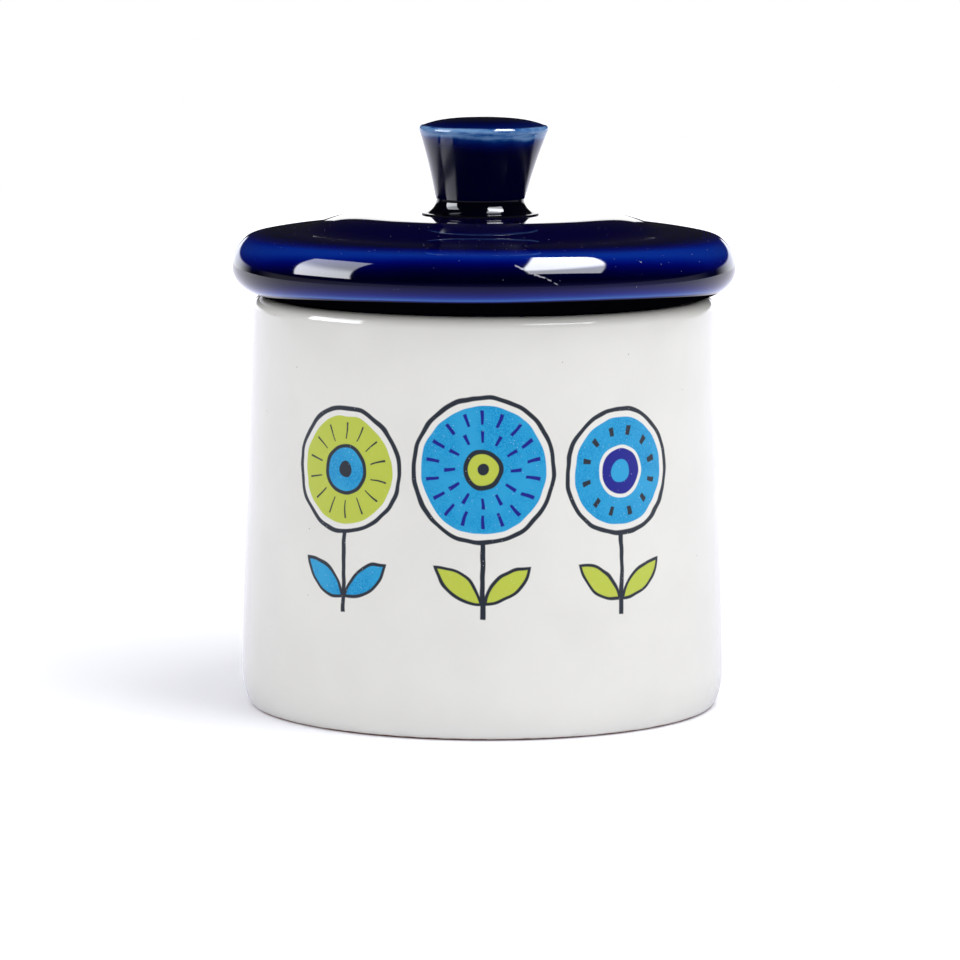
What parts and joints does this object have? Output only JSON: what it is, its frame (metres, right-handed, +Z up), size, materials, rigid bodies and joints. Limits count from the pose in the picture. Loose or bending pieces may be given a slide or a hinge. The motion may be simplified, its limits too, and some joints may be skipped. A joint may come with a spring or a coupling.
{
  "type": "ceramic jar",
  "caption": "Small lidded ceramic jar: straight-sided white glazed pot with a domed cobalt-blue lid and a flared knob.",
  "frame": {"origin": "centre of the foot ring, on the surface the jar stands on", "axes": "+Z up along the axis the jar, lid and knob are turned about; -Y is the side that the picture shows"},
  "size_m": [0.0904, 0.0904, 0.1058],
  "materials": {
    "white_glaze": "glossy clear glaze over an off-white body",
    "blue_glaze": "glossy deep cobalt glaze",
    "blue_knob_glaze": "glossy deep cobalt glaze, thin and pale blue on the top edge"
  },
  "bodies": {
    "jar": {"jar_body": "white_glaze"},
    "lid": {"lid": "blue_glaze", "knob": "blue_knob_glaze"}
  },
  "joints": [
    {"name": "lid_lift", "type": "slide", "parent": "jar", "child": "lid", "axis": [0, 0, 1], "range_m": [0, 0.06]}
  ]
}
